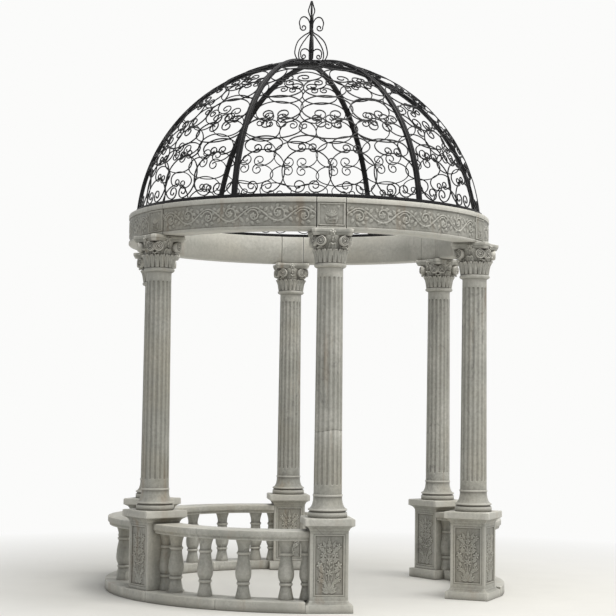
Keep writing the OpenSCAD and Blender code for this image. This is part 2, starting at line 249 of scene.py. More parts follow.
def rounded(corners, edge):
    """An outline of (x, z) corners with every corner rounded by a small arc."""
    out = []
    count = len(corners)
    for i in range(count):
        here = np.array(corners[i], float)
        back = np.array(corners[i - 1], float) - here
        on = np.array(corners[(i + 1) % count], float) - here
        cut = min(edge, np.linalg.norm(back) * 0.45, np.linalg.norm(on) * 0.45)
        start = here + back / np.linalg.norm(back) * cut
        end = here + on / np.linalg.norm(on) * cut
        for t in (0, 0.5, 1):
            out.append((1 - t) ** 2 * start + 2 * t * (1 - t) * here + t * t * end)
    return np.array(out)


def curved_stone(inner, outer, foot, head, left, right, cut_left, cut_right, edge):
    """A slab of the ring between two radii, its ends cut parallel to the radius at
    left and right by a distance, with every arris rubbed round."""
    steps = 26
    section = rounded([(inner, foot), (outer, foot), (outer, head), (inner, head)], edge)
    rings = []
    for i, t in enumerate(np.linspace(0, 1, steps)):
        ring = []
        near_end = min(i, steps - 1 - i) == 0
        for radius, height in section:
            start = math.radians(left) + math.asin(cut_left / radius)
            end = math.radians(right) - math.asin(cut_right / radius)
            angle = start + (end - start) * t
            ring.append((radius * math.sin(angle), -radius * math.cos(angle), height))
        ring = np.array(ring)
        if near_end:
            middle = ring.mean(0)
            ring = middle + (ring - middle) * (1 - edge / 3 / (head - foot))
        rings.append(ring)
    return skin(rings)


curb_outer = COLUMN_CIRCLE + CURB_REACH
curb_inner = curb_outer - CURB_WIDTH
for i, bay in enumerate(RAIL_BAYS):
    halves = [curved_stone(curb_inner, curb_outer, 0, CURB_HEIGHT, bay - 30, bay,
                           HALF_STONE + 1, JOINT_WIDTH / 2, RUBBED_EDGE),
              curved_stone(curb_inner, curb_outer, 0, CURB_HEIGHT, bay, bay + 30,
                           JOINT_WIDTH / 2, HALF_STONE + 1, RUBBED_EDGE)]
    finish_piece("curb_stones_%d" % (i + 1), halves, marble, "curb_%d" % (i + 1))

stones = []
for angle in MITRED_STONES:
    across = np.linspace(-HALF_STONE + 1, HALF_STONE - 1, 14)
    back = COLUMN_CIRCLE - HALF_STONE
    rings = []
    for k, x in enumerate(across):
        reach = math.sqrt(curb_outer ** 2 - x * x)
        drop = 2.0 if k in (0, len(across) - 1) else 0.0
        section = rounded([(back + drop, drop), (reach - drop, drop),
                           (reach - drop, CURB_HEIGHT - drop), (back + drop, CURB_HEIGHT - drop)],
                          RUBBED_EDGE)
        rings.append(np.stack([np.full(len(section), x), -section[:, 0], section[:, 1]], -1))
    points, faces = skin(rings)
    stones.append((turn(points, angle), faces))
finish_piece("pedestal_base_stones", stones, marble, "base_stones")

# ---- Pedestals ----
# Square marble pedestals with a moulded cap. The inner and outer faces carry a sunk panel
# with a bouquet cut in low relief; the two by the entrance have a third such panel and
# their own square foot. Half a baluster is worked on each side that a balustrade meets.

PEDESTAL_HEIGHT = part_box("pedestal_1")[1].z * 1000
DIE_HALF = 146.0
FOOT_HALF = 181.0
FOOT_HEIGHT = 61.0
FOOT_SLOPE = 34.0
CAP_HALF = 189.0
CAP_THICKNESS = 56.0
CAP_MOULDING = 35.0
PANEL_HALF = 107.0
PANEL_SUNK = 8.0
PANEL_BORDER = 38.0
GROOVE_LINES = (7, 10, 13, 16)
GROOVE_DEPTH = 2.4
PANEL_COLUMNS = 53
PANEL_ROWS = 126
ENTRANCE_SIDES = {0: 90, 60: -90}
RAIL_END_SETBACK = 45.0
RAIL_SETBACK = 15.0
RAIL_WIDTH = 250.0
RAIL_THICKNESS = 74.0
RAIL_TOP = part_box("handrail_1")[1].z * 1000
BALUSTER_COUNT = 4
# How much painted shade, partly dirt, darkens the sunk ground between the carving, on the scale of
# the hollows
SUNK_SHADE_AND_DIRT = 0.06


def leaf(x, z, at, way, length, width, height):
    """Relief of one leaf: domed, pointed at both ends, with a cut midrib."""
    c = math.cos(math.radians(way))
    s = math.sin(math.radians(way))
    along = ((x - at[0]) * c + (z - at[1]) * s) / length
    across = -(x - at[0]) * s + (z - at[1]) * c
    inside = (along > 0) & (along < 1)
    t = np.clip(along, 0, 1)
    half = width / 2 * np.sin(np.pi * t ** 0.75) * (1 + 0.10 * np.cos(t * 22)) + 1e-6
    dome = np.sqrt(np.clip(1 - (across / half) ** 2, 0, 1))
    vein = 0.45 * np.exp(-(across / (0.09 * width + 1)) ** 2)
    return np.where(inside, height * dome * (1 - vein) * (0.55 + 0.45 * np.sin(np.pi * t)), 0)


def flower(x, z, at, size, petals, height, first=0.0):
    """Relief of an open flower: round petals with cuts between them and a button."""
    dx = x - at[0]
    dz = z - at[1]
    r = np.hypot(dx, dz)
    wave = np.cos(petals * (np.arctan2(dz, dx) - first))
    edge = size * (0.80 + 0.20 * wave)
    petal = np.clip(1 - (r / edge) ** 4, 0, 1) ** 0.5 * (0.62 + 0.38 * np.sqrt((wave + 1) / 2))
    cup = 0.45 + 0.55 * np.clip(r / (0.7 * size), 0, 1)
    button = np.sqrt(np.clip(1 - (r / (0.28 * size)) ** 2, 0, 1)) * 0.95
    return height * np.maximum(petal * cup, button) * (r < size)


def stalk(x, z, line, width, height):
    """Relief of a round stalk that follows a line of points."""
    near = np.full(x.shape, 1e9)
    for (x0, z0), (x1, z1) in zip(line[:-1], line[1:]):
        run = (x1 - x0) ** 2 + (z1 - z0) ** 2
        t = np.clip(((x - x0) * (x1 - x0) + (z - z0) * (z1 - z0)) / run, 0, 1)
        near = np.minimum(near, np.hypot(x - x0 - t * (x1 - x0), z - z0 - t * (z1 - z0)))
    return height * np.sqrt(np.clip(1 - (near / width) ** 2, 0, 1))


def bouquet(x, z, tall):
    """Height of the carved bouquet over the sunk ground, for a panel of the given height."""
    # The tied foot of the bouquet, with broad leaves folding away on both sides
    parts = [leaf(x, z, (0, 16), way, length, 27, 7.5) for way, length in (
        (35, 74), (62, 92), (90, 100), (118, 92), (145, 74), (12, 60), (168, 60))]
    for side in (-1, 1):
        stems = [(0, 30), (side * 12, 90), (side * 30, 0.38 * tall), (side * 34, 0.50 * tall),
                 (side * 22, 0.62 * tall), (side * 30, 0.78 * tall)]
        outer = [(0, 30), (side * 30, 100), (side * 58, 0.34 * tall), (side * 70, 0.46 * tall)]
        parts += [stalk(x, z, stems, 3.6, 4.5), stalk(x, z, outer, 3.2, 4.0)]
        for out, up, way, length in (
                (20, 84, 20, 50.6), (34, 112, -18, 52.8), (52, 130, 58, 48.4),
                (64, 168, 100, 55), (34, 168, 30, 48.4), (36, 205, -20, 55),
                (30, 238, 40, 52.8), (24, 268, -5, 55), (24, 300, 55, 50.6),
                (30, 336, 10, 52.8), (28, 350, 68, 59.4), (58, 320, 110, 46.2)):
            parts.append(leaf(x, z, (side * out, up * tall / 442),
                              way if side > 0 else 180 - way, length, 25, 7.5))
        for out, up, size, petals, height, first in (
                (72, 0.50, 29, 5, 9, side * 0.4), (46, 0.67, 25, 5, 9, 0.9),
                (68, 0.255, 23, 6, 8, 0.2), (70, 0.82, 24, 5, 8, 1.2)):
            parts.append(flower(x, z, (side * out, up * tall), size, petals, height, first))
        for k in range(6):
            parts.append(leaf(x, z, (0, (0.44 + 0.075 * k) * tall), 90 - side * 52,
                              38 - 2 * k, 15, 6))
    middle = [(0, 30), (-5, 130), (5, 0.45 * tall), (-3, 0.66 * tall), (0, 0.88 * tall)]
    parts += [stalk(x, z, middle, 4.0, 5.0),
              flower(x, z, (0, 0.37 * tall), 29, 6, 9, 0.3),
              flower(x, z, (2, 0.56 * tall), 25, 5, 9, 0.8),
              flower(x, z, (0, 0.75 * tall), 22, 5, 8.5, 0.1),
              leaf(x, z, (0, 0.80 * tall), 90, 0.17 * tall, 24, 7.5)]
    return np.max(parts, 0)


def side_columns(carved):
    """Where the columns of points stand across one face of the die."""
    if not carved:
        return np.linspace(-DIE_HALF + 2, DIE_HALF - 2, 5)
    panel = np.linspace(-PANEL_HALF + 3, PANEL_HALF - 3, PANEL_COLUMNS)
    frame_lines = [PANEL_HALF + v for v in (0, *GROOVE_LINES)] + [DIE_HALF - 2]
    return np.concatenate([[-v for v in frame_lines[::-1]], panel, frame_lines])


def panel_depth(x, z, low, high):
    """How deep the carved face lies at a point of the die."""
    past = np.maximum(np.abs(x) - PANEL_HALF, np.maximum(low - z, z - high))
    groove = np.interp(past, [6.9, 10, 13, 16.1], [0, GROOVE_DEPTH, GROOVE_DEPTH, 0])
    sunk = np.interp(past, [-3, 0], [1, 0])
    relief = bouquet(x, z - low, high - low)
    return groove + sunk * np.clip(PANEL_SUNK - relief, -1.5, PANEL_SUNK)


def pedestal(angle):
    """One closed block, row over row, every row the same columns round the four sides."""
    own_foot = angle in ENTRANCE_SIDES
    foot = FOOT_HEIGHT + FOOT_SLOPE if own_foot else CURB_HEIGHT
    under = PEDESTAL_HEIGHT - CAP_THICKNESS - CAP_MOULDING
    low = foot + PANEL_BORDER
    high = under - PANEL_BORDER
    carved = [True, ENTRANCE_SIDES.get(angle) == 90, True, ENTRANCE_SIDES.get(angle) == -90]
    below = [(DIE_HALF - 2, foot), (DIE_HALF, foot + 2)]
    if own_foot:
        below = [(FOOT_HALF - 3, 0), (FOOT_HALF, 3), (FOOT_HALF, FOOT_HEIGHT - 5),
                 (FOOT_HALF - 1.5, FOOT_HEIGHT - 1.5), (FOOT_HALF - 5, FOOT_HEIGHT),
                 (FOOT_HALF - 9, FOOT_HEIGHT + 1), (DIE_HALF + 14, FOOT_HEIGHT + 9),
                 (DIE_HALF + 6, FOOT_HEIGHT + 17), (DIE_HALF + 5, foot - 9),
                 (DIE_HALF + 1, foot - 5), (DIE_HALF, foot)]
    die_rows = np.concatenate([
        [low - v for v in GROOVE_LINES[::-1]], [low],
        np.linspace(low + 3, high - 3, PANEL_ROWS), [high], [high + v for v in GROOVE_LINES]])
    above = [(DIE_HALF, under - 3), (DIE_HALF + 3, under), (DIE_HALF + 5, under + 6),
             (DIE_HALF + 8, under + 13), (DIE_HALF + 14, under + 21),
             (DIE_HALF + 23, under + 28), (DIE_HALF + 31, under + 31),
             (DIE_HALF + 31, under + CAP_MOULDING), (CAP_HALF - 4, under + CAP_MOULDING),
             (CAP_HALF, under + CAP_MOULDING + 4), (CAP_HALF, PEDESTAL_HEIGHT - 9),
             (CAP_HALF - 2.5, PEDESTAL_HEIGHT - 3), (CAP_HALF - 9, PEDESTAL_HEIGHT)]
    rows = below + [(DIE_HALF, z) for z in die_rows] + above
    sides = []
    for has_panel in carved:
        x = side_columns(has_panel)
        depth = np.zeros((len(die_rows), len(x)))
        if has_panel:
            depth = panel_depth(*np.meshgrid(x, die_rows), low, high)
        sides.append((x, np.pad(depth, ((len(below), len(above)), (0, 0)))))
    rings = []
    sunk_shade_and_dirt = []
    for k, (half, height) in enumerate(rows):
        ring = []
        for side, (x, depth) in enumerate(sides):
            here = np.stack([x * (half - 2) / (DIE_HALF - 2), depth[k] - half,
                             np.full(len(x), height)], -1)
            # Painted shade, partly dirt: the deeper the sunk ground lies, the darker it is coloured
            sunk_shade_and_dirt.append(SUNK_SHADE_AND_DIRT * np.clip(depth[k] - 3.5, 0, 4.5) / 4.5)
            ring.append(turn(here, side * 90))
        rings.append(np.concatenate(ring))
    points, faces = skin(rings)
    return points, faces, np.concatenate(sunk_shade_and_dirt)


def lathe(outline, around=48, start=0.0, sweep=360.0):
    """Points and faces of a turned piece from (radius, height) stations."""
    closed = sweep >= 360
    angles = np.radians(start + sweep * np.arange(around + (not closed)) / around)
    rings = [[(r * math.cos(a), r * math.sin(a), z) for a in angles] for r, z in outline]
    return skin(rings)


def baluster_outline():
    """The vase shape of a baluster: ring, neck, swelling belly, ring and trumpet foot."""
    tall = RAIL_TOP - RAIL_THICKNESS - CURB_HEIGHT
    stations = [(0.0, 59), (0.03, 59), (0.06, 56), (0.12, 50), (0.19, 44), (0.225, 42),
                (0.235, 49), (0.255, 53), (0.275, 49), (0.285, 44), (0.32, 52), (0.36, 59),
                (0.42, 62), (0.48, 61), (0.56, 55), (0.64, 48), (0.70, 45), (0.735, 44),
                (0.745, 50), (0.765, 54), (0.785, 50), (0.795, 44), (0.83, 44), (0.88, 47),
                (0.93, 53), (0.965, 58.5), (1.0, 59)]
    return [(r, CURB_HEIGHT + share * tall) for share, r in stations]


# The handrail's outer edge is an arc through mid bay and the sides of both pedestals
rail_reach = curb_outer - RAIL_SETBACK
rail_end = COLUMN_CIRCLE + DIE_HALF - RAIL_END_SETBACK
half_turn = math.radians(30)
rail_end_x = rail_end * math.sin(half_turn) - DIE_HALF * math.cos(half_turn)
rail_bow = rail_reach - rail_end * math.cos(half_turn) - DIE_HALF * math.sin(half_turn)
rail_bend = (rail_end_x ** 2 + rail_bow ** 2) / (2 * rail_bow)
rail_centre = rail_reach - rail_bend
row_bend = rail_bend - RAIL_WIDTH / 2
row_off = rail_centre * math.sin(half_turn) - DIE_HALF
row_end = rail_centre * math.cos(half_turn) + math.sqrt(row_bend ** 2 - row_off ** 2)

for i in range(6):
    angle = i * 60
    points, faces, sunk_shade_and_dirt = pedestal(angle)
    shells = [(turn(points, angle, COLUMN_CIRCLE), faces, sunk_shade_and_dirt)]
    for side in (-1, 1):
        if ENTRANCE_SIDES.get(angle) == side * 90:
            continue
        points, faces = lathe(baluster_outline(), 24, -side * 90, 180)
        points = points + [side * (DIE_HALF - 0.5), COLUMN_CIRCLE - row_end, 0]
        shells.append((turn(points, angle, COLUMN_CIRCLE), faces))
    finish_piece("carved_pedestal_%d" % (i + 1), shells, marble,
                 "pedestal_%d" % (i + 1))

# ---- Balusters ----
# Turned marble balusters, four in a bay, each worked from one stone. They stand on the curb
# at equal steps and are pinned up into the handrail.


def socket_id(tree, name):
    """The identifier of a named input of a tree of geometry nodes."""
    return next(s.identifier for s in tree.interface.items_tree
                if s.item_type == "SOCKET" and s.in_out == "INPUT" and s.name == name)


def new_tree(name, sizes):
    """A tree of geometry nodes with its named number inputs, and the node that gives them."""
    tree = bpy.data.node_groups.new(name, "GeometryNodeTree")
    tree.interface.new_socket("Geometry", in_out="INPUT", socket_type="NodeSocketGeometry")
    for size, kind in sizes:
        tree.interface.new_socket(size, in_out="INPUT", socket_type="NodeSocket" + kind)
    tree.interface.new_socket("Geometry", in_out="OUTPUT", socket_type="NodeSocketGeometry")
    return tree, add(tree, "NodeGroupInput").outputs


def end_tree(tree, geometry, finish):
    """Every tree ends in plain geometry with its finish on it."""
    real = add(tree, "GeometryNodeRealizeInstances", {"Geometry": geometry})
    done = add(tree, "GeometryNodeSetMaterial", {"Geometry": real, "Material": finish})
    add(tree, "NodeGroupOutput", {"Geometry": done})


def run_tree(tree, mesh, values):
    """The plain mesh that a tree makes of a mesh, with its named inputs set."""
    carrier = bpy.data.objects.new("carrier", mesh)
    bpy.context.collection.objects.link(carrier)
    modifier = carrier.modifiers.new("made", "NODES")
    modifier.node_group = tree
    for name, value in values.items():
        modifier[socket_id(tree, name)] = value
    seen = carrier.evaluated_get(bpy.context.evaluated_depsgraph_get())
    made = bpy.data.meshes.new_from_object(seen)
    carrier.modifiers.remove(modifier)
    bpy.data.objects.remove(carrier)
    return made


def baluster_row():
    """Stands one baluster at equal steps along the arc under a handrail."""
    tree, given = new_tree("baluster_row", [
        ("Count", "Int"), ("Arc radius", "Float"), ("Arc half angle", "Float"),
        ("Arc centre", "Float"), ("Bay", "Float")])
    geometry, count, radius, half, centre, bay = given[:6]
    index = add(tree, "GeometryNodeInputIndex")
    step = add(tree, "ShaderNodeMath", [half, count], operation="DIVIDE")
    odd = add(tree, "ShaderNodeMath", [index, 2.0, 1.0], operation="MULTIPLY_ADD")
    swing = add(tree, "ShaderNodeMath", [odd, step], operation="MULTIPLY")
    swing = add(tree, "ShaderNodeMath", [swing, half], operation="SUBTRACT")
    sine = add(tree, "ShaderNodeMath", [swing], operation="SINE")
    cosine = add(tree, "ShaderNodeMath", [swing], operation="COSINE")
    x = add(tree, "ShaderNodeMath", [sine, radius], operation="MULTIPLY")
    y = add(tree, "ShaderNodeMath", [cosine, radius, centre], operation="MULTIPLY_ADD")
    y = add(tree, "ShaderNodeMath", [y, -1.0], operation="MULTIPLY")
    place = add(tree, "ShaderNodeCombineXYZ", [x, y])
    spots = add(tree, "GeometryNodePoints", {"Count": count, "Position": place})
    row = add(tree, "GeometryNodeInstanceOnPoints", {
        "Points": spots, "Instance": geometry})
    spin = add(tree, "ShaderNodeCombineXYZ", {"Z": bay})
    placed = add(tree, "GeometryNodeTransform", {"Geometry": row, "Rotation": spin})
    end_tree(tree, placed, marble)
    return tree


row_tree = baluster_row()
row_half = half_turn + math.asin(row_off / row_bend)
for i, bay in enumerate(RAIL_BAYS):
    one = plain_mesh("baluster", *lathe(baluster_outline(), 40))
    made = run_tree(row_tree, one, {
        "Count": BALUSTER_COUNT, "Arc radius": row_bend / 1000, "Arc half angle": row_half,
        "Arc centre": rail_centre / 1000, "Bay": math.radians(bay)})
    finish_mesh("turned_balusters_%d" % (i + 1), made, "balusters_%d" % (i + 1))

# ---- Handrails ----
# One curved marble rail a bay, let in between the pedestals, moulded along both edges: a
# flat top with round arrises, a small step and a hollow that draws in to the underside.

rail_back = rail_bend - RAIL_WIDTH
rail_foot = RAIL_TOP - RAIL_THICKNESS
rail_profile = rounded([
    (rail_back + 14, rail_foot), (rail_bend - 14, rail_foot), (rail_bend - 13, RAIL_TOP - 56),
    (rail_bend - 4, RAIL_TOP - 48), (rail_bend, RAIL_TOP - 44), (rail_bend, RAIL_TOP),
    (rail_back, RAIL_TOP), (rail_back, RAIL_TOP - 44), (rail_back + 4, RAIL_TOP - 48),
    (rail_back + 13, RAIL_TOP - 56)], 7)
for i, bay in enumerate(RAIL_BAYS):
    rings = []
    for t in np.linspace(-1, 1, 33):
        ring = []
        for radius, height in rail_profile:
            swing = t * (half_turn + math.asin((row_off + 0.5) / radius))
            ring.append((radius * math.sin(swing), -rail_centre - radius * math.cos(swing), height))
        rings.append(ring)
    points, faces = skin(rings)
    finish_piece("moulded_handrail_%d" % (i + 1), [(turn(points, bay), faces)], marble,
                 "handrail_%d" % (i + 1))

# ---- Columns ----
# A turned base of two discs and a deep hollow, and a shaft with fine flutes worked between
# a plain band at either end, each column one stone. The front shaft has a bed crack.

BASE_RADIUS = 150.0
BASE_HEIGHT = 176.0
BASE_DISC = 40.0
NECK_RADIUS = 114.0
SHAFT_FOOT = 108.5
SHAFT_HEAD = 100.0
FLUTES = 16
FLUTE_DEPTH = 7.0
FLUTE_HALF = 12.6
PLAIN_BAND = 70.0
CRACK_HEIGHT = 480.0
CRACK_DEPTH = 2.0
CRACK_WANDER = 9.0
column_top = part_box("column_1")[1].z * 1000


def round_row(radius, height, count):
    """One row of points round the upright axis."""
    angles = 2 * np.pi * np.arange(count) / count
    return np.stack([radius * np.sin(angles), -radius * np.cos(angles),
                     np.full(count, height)], -1)


def column(cracked):
    """The stone from its disc to the top of its shaft, row over row."""
    r = BASE_RADIUS
    hollow_foot = BASE_DISC + 26
    stations = [(r - 3, 0), (r, 3), (r, BASE_DISC - 4), (r - 3, BASE_DISC), (r - 11, BASE_DISC + 3),
                (r - 11, BASE_DISC + 10), (r - 3, BASE_DISC + 13), (r, BASE_DISC + 16),
                (r, BASE_DISC + 22), (r - 3, hollow_foot)]
    stations += [(r - 3 - 37 * math.sin(math.radians(t)),
                  hollow_foot + 92 * (1 - math.cos(math.radians(t)))) for t in range(10, 91, 10)]
    stations += [(NECK_RADIUS - 1, 159), (NECK_RADIUS, 162), (NECK_RADIUS, 172),
                 (NECK_RADIUS - 3, BASE_HEIGHT)]
    around = FLUTES * 10
    rings = [round_row(radius, PEDESTAL_HEIGHT + z, around) for radius, z in stations]
    tall = column_top - PEDESTAL_HEIGHT - BASE_HEIGHT
    top = tall - PLAIN_BAND
    heights = [0, 2, PLAIN_BAND - 2] + [PLAIN_BAND + v for v in (0, 1.5, 4, 8, 13)]
    heights += list(np.linspace(PLAIN_BAND + 60, top - 60, 16))
    heights += [top - v for v in (13, 8, 4, 1.5, 0)] + [top + 2, tall]
    if cracked:
        heights = sorted(heights + [CRACK_HEIGHT + v for v in (-3, -1, 1, 3)])
    angles = 2 * np.pi * np.arange(around) / around
    phase = (angles / (2 * np.pi) * FLUTES) % 1 - 0.5
    for z in heights:
        radius = SHAFT_FOOT + (SHAFT_HEAD - SHAFT_FOOT) * z / tall
        from_end = np.clip(min(z - PLAIN_BAND, top - z), 0, FLUTE_HALF)
        reach = math.sqrt(FLUTE_HALF ** 2 - (FLUTE_HALF - from_end) ** 2)
        across = phase * 2 * np.pi * radius / FLUTES
        cut = np.zeros(around)
        if reach > 0:
            cut = FLUTE_DEPTH * np.sqrt(np.clip(1 - (across / reach) ** 2, 0, 1))
            cut = cut * reach / FLUTE_HALF
        if cracked and abs(z - CRACK_HEIGHT) < 2:
            cut = cut + CRACK_DEPTH
        row = round_row(radius - cut, PEDESTAL_HEIGHT + BASE_HEIGHT + z, around)
        if cracked and abs(z - CRACK_HEIGHT) < 4:
            row[:, 2] += CRACK_WANDER * np.sin(angles * 2 + 0.7)
        rings.append(row)
    return skin(rings)


for i in range(6):
    points, faces = column(cracked=(i == 0))
    finish_piece("fluted_column_%d" % (i + 1), [(turn(points, i * 60, COLUMN_CIRCLE), faces)],
                 marble, "column_%d" % (i + 1), sharp=50)

# ---- Capitals ----
# Carved marble capitals, each one block doweled on its shaft: a round necking ring, close
# upright leaves, broad leaves that lip over, two rolled scrolls on every side that meet at
# the corners, and a hollow-sided slab in two bands with a flower in the middle of a side.

NECK_RING_SEAT = 100.0
NECK_RING_REACH = 25.0
NECK_RING_HEIGHT = 37.0
BELL_RADIUS = 136.0
SLAB_HALF = 164.0
SLAB_THICKNESS = 52.0
SLAB_HOLLOW = 26.0
SCROLL_RADIUS = 41.0
SCROLL_REACH = 166.0
SCROLL_SPREAD = 34.0
SCROLL_LEAN = 10.0
SCROLL_POINTS = 46
UPRIGHT_LEAVES = 18
BROAD_LEAVES = 8
capital_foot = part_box("capital_1")[0].z * 1000
capital_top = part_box("capital_1")[1].z * 1000
CAPITAL_HEIGHT = capital_top - capital_foot
slab_foot = CAPITAL_HEIGHT - SLAB_THICKNESS


def carved_leaf(path, widths, thick, belly, lobes, way):
    """A closed leaf that follows (radius, height) points, its section bowed outwards,
    with a raised midrib and lobed edges."""
    path = np.array(path, float)
    stations = np.linspace(0, len(path) - 1, 15)
    radius = np.interp(stations, range(len(path)), path[:, 0])
    height = np.interp(stations, range(len(path)), path[:, 1])
    width = np.interp(stations, range(len(path)), widths)
    ahead = np.gradient(radius), np.gradient(height)
    rings = []
    for k in range(len(stations)):
        slope = math.hypot(ahead[0][k], ahead[1][k])
        out = np.array([ahead[1][k], -ahead[0][k]]) / slope
        lobe = 1 - 0.16 * (0.5 + 0.5 * math.cos(lobes * 2 * math.pi * k / 14))
        across = np.linspace(-1, 1, 9)
        bow = belly * (1 - across ** 2) + 0.35 * belly * np.exp(-(across / 0.18) ** 2)
        flute = -0.22 * belly * np.exp(-((np.abs(across) - 0.5) / 0.16) ** 2)
        ring = []
        for side, lift in ((1, bow + flute + thick / 2), (-1, bow * 0.4 - thick / 2)):
            order = across if side > 0 else across[::-1]
            lifts = lift if side > 0 else lift[::-1]
            for a, up in zip(order, lifts):
                r = radius[k] + out[0] * up
                ring.append((a * width[k] / 2 * lobe, -r, height[k] + out[1] * up))
        rings.append(ring)
    points, faces = skin(rings)
    return turn(points, way), faces


def bar(path, wide, deep):
    """A closed bar of rectangular section along points of an upright plane, its wide side
    across the plane."""
    path = np.array(path, float)
    ahead = np.gradient(path, axis=0)
    up = np.cross(ahead, (0, 1, 0))
    up /= np.linalg.norm(up, axis=1, keepdims=True)
    rings = [path + np.array([0, wide / 2 * a, 0]) + up * deep / 2 * b
             for a, b in ((-1, -0.6), (-0.8, -1), (0.8, -1), (1, -0.6),
                          (1, 0.6), (0.8, 1), (-0.8, 1), (-1, 0.6))]
    return skin(np.stack(rings, 1))


def blob(centre, sizes, way=None):
    """A closed egg shape from its middle and its half sizes along X, Y and Z, or along a
    way in degrees round the Y axis, across it and along Y."""
    axes = np.eye(3)
    if way is not None:
        a = math.radians(way)
        axes = np.array([[math.cos(a), 0, math.sin(a)], [-math.sin(a), 0, math.cos(a)],
                         [0, 1, 0]])
    rings = []
    for t in np.linspace(-0.97, 0.97, 8):
        ring = round_row(math.sqrt(1 - t * t), t, 12) * [1, -1, 1]
        rings.append(np.array(centre) + ring * np.array(sizes) @ axes)
    return skin(rings)


def side_scroll(way, hand):
    """A rolled scroll under one end of one side of the slab: a round back, a band wound
    on it and a button eye."""
    height = slab_foot - SCROLL_RADIUS - 1
    rings = []
    for radius, depth in ((30, 52), (SCROLL_RADIUS - 4, 40), (SCROLL_RADIUS - 1, 4),
                          (SCROLL_RADIUS - 4, 0)):
        across, up, _ = round_row(radius, 0, 32).T
        rings.append(np.stack([across, np.full(32, depth), height - up], -1))
    t = np.linspace(0, 1, SCROLL_POINTS)
    roll = np.radians(90 + hand * 880 * t)
    r = (SCROLL_RADIUS - 3) * (1 - 0.74 * t)
    line = np.stack([r * np.cos(roll), np.full(SCROLL_POINTS, -2.0),
                     height + r * np.sin(roll)], -1)
    parts = [skin(rings), bar(line, 15.0, 5.5), blob((0, -4, height), (8.5, 9, 8.5))]
    placed = []
    for points, faces in parts:
        points = turn(points, -SCROLL_LEAN * hand)
        placed.append((turn(points, way + SCROLL_SPREAD * hand, SCROLL_REACH), faces))
    return placed


def side_flower(way):
    """The flower in the middle of one side of the slab, with a bud and leaf below it."""
    face = SLAB_HALF - SLAB_HOLLOW - 2
    height = CAPITAL_HEIGHT - SLAB_THICKNESS / 2 - 3
    parts = [blob((0, -face - 5, height), (10, 12, 10)),
             blob((0, -face + 4, height - 38), (8.5, 9, 15)),
             blob((0, -face + 6, height - 62), (5.5, 7, 12))]
    petals = [(90 + 72 * k, 15, -face + 1, height, (12, 10.5, 9)) for k in range(5)]
    petals += [(-90 + side * 38, 26, -face + 8, height - 22, (20, 6.5, 6)) for side in (-1, 1)]
    for lean, reach, y, z, sizes in petals:
        out = math.radians(lean)
        parts.append(blob((reach * math.cos(out), y, z + reach * math.sin(out)), sizes, lean))
    return [(turn(points, way), faces) for points, faces in parts]


def slab_outline():
    """The slab's plan: four hollow sides between cut corners."""
    corner = SLAB_HALF - 22
    x = np.linspace(-corner, corner, 17)
    side = np.stack([x, -SLAB_HALF + SLAB_HOLLOW * (1 - (x / corner) ** 2), np.zeros(17)], -1)
    return np.concatenate([turn(side, way) for way in range(0, 360, 90)])


def capital():
    """All shells of one capital, standing at the origin."""
    ring = [(NECK_RING_SEAT + NECK_RING_REACH * math.sin(math.radians(a)),
             NECK_RING_HEIGHT / 2 * (1 - math.cos(math.radians(a)))) for a in range(0, 181, 15)]
    bell = [(NECK_RING_SEAT - 2, 0)] + ring + [
        (104, 45), (108, 90), (115, 140), (122, 180), (130, 215), (BELL_RADIUS - 2, slab_foot + 4)]
    parts = [lathe(bell, 56)]
    for k in range(UPRIGHT_LEAVES):
        parts.append(carved_leaf(
            [(106, 38), (109, 62), (113, 88), (119, 112), (128, 130), (138, 137), (144, 130)],
            [34, 37, 39, 41, 40, 30, 12], 7, 7.5, 1, 360 / UPRIGHT_LEAVES * (k + 0.5)))
    for k in range(BROAD_LEAVES):
        parts.append(carved_leaf(
            [(108, 90), (110, 118), (113, 146), (119, 168), (131, 182), (145, 184), (150, 173)],
            [50, 58, 64, 62, 54, 38, 14], 6.5, 9, 4, 360 / BROAD_LEAVES * k))
    for way in range(0, 360, 90):
        parts += side_scroll(way, 1) + side_scroll(way, -1) + side_flower(way)
        parts.append(carved_leaf(
            [(108, 112), (114, 138), (124, 152), (141, 158), (158, 155), (166, 146)],
            [44, 50, 52, 46, 30, 12], 6, 8, 3, way + 45))
    outline = slab_outline()
    rings = []
    for scale, z in ((0.90, 0), (0.92, 2), (0.93, 9), (0.955, 15), (0.965, 21), (0.965, 25),
                     (0.985, 26), (0.992, 29), (0.992, 46), (0.985, SLAB_THICKNESS - 1.5),
                     (0.965, SLAB_THICKNESS)):
        rings.append(outline * [scale, scale, 1] + [0, 0, slab_foot + z])
    parts.append(skin(rings))
    return parts


for i in range(6):
    lift = np.array([0, 0, capital_foot])
    shells = [(turn(points + lift, i * 60, COLUMN_CIRCLE), faces) for points, faces in capital()]
    finish_piece("leaf_capital_%d" % (i + 1), shells, marble, "capital_%d" % (i + 1),
                 sharp=55)

# ---- Ring beam ----
# Six short blocks over the capitals and six curved lengths between them, all of marble and
# joined with dowels. The lengths carry a frieze of scrolling leaves between a plain top
# strip and a fillet; the blocks carry a framed panel with a fan of petals.

RING_OUTER = COLUMN_CIRCLE + 52
RING_INNER = RING_OUTER - 180
BLOCK_HALF = 116.0
TOP_STRIP = 42.0
BOTTOM_STRIP = 26.0
FIELD_DEPTH = 9.0
JOINT_GAP = 3.5
WAVES = 7
VINE_SWING = 52.0
ring_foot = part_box("ring_blocks")[0].z * 1000
ring_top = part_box("ring_blocks")[1].z * 1000
RING_HEIGHT = ring_top - ring_foot
block_turn = math.degrees(math.asin(BLOCK_HALF / RING_OUTER))


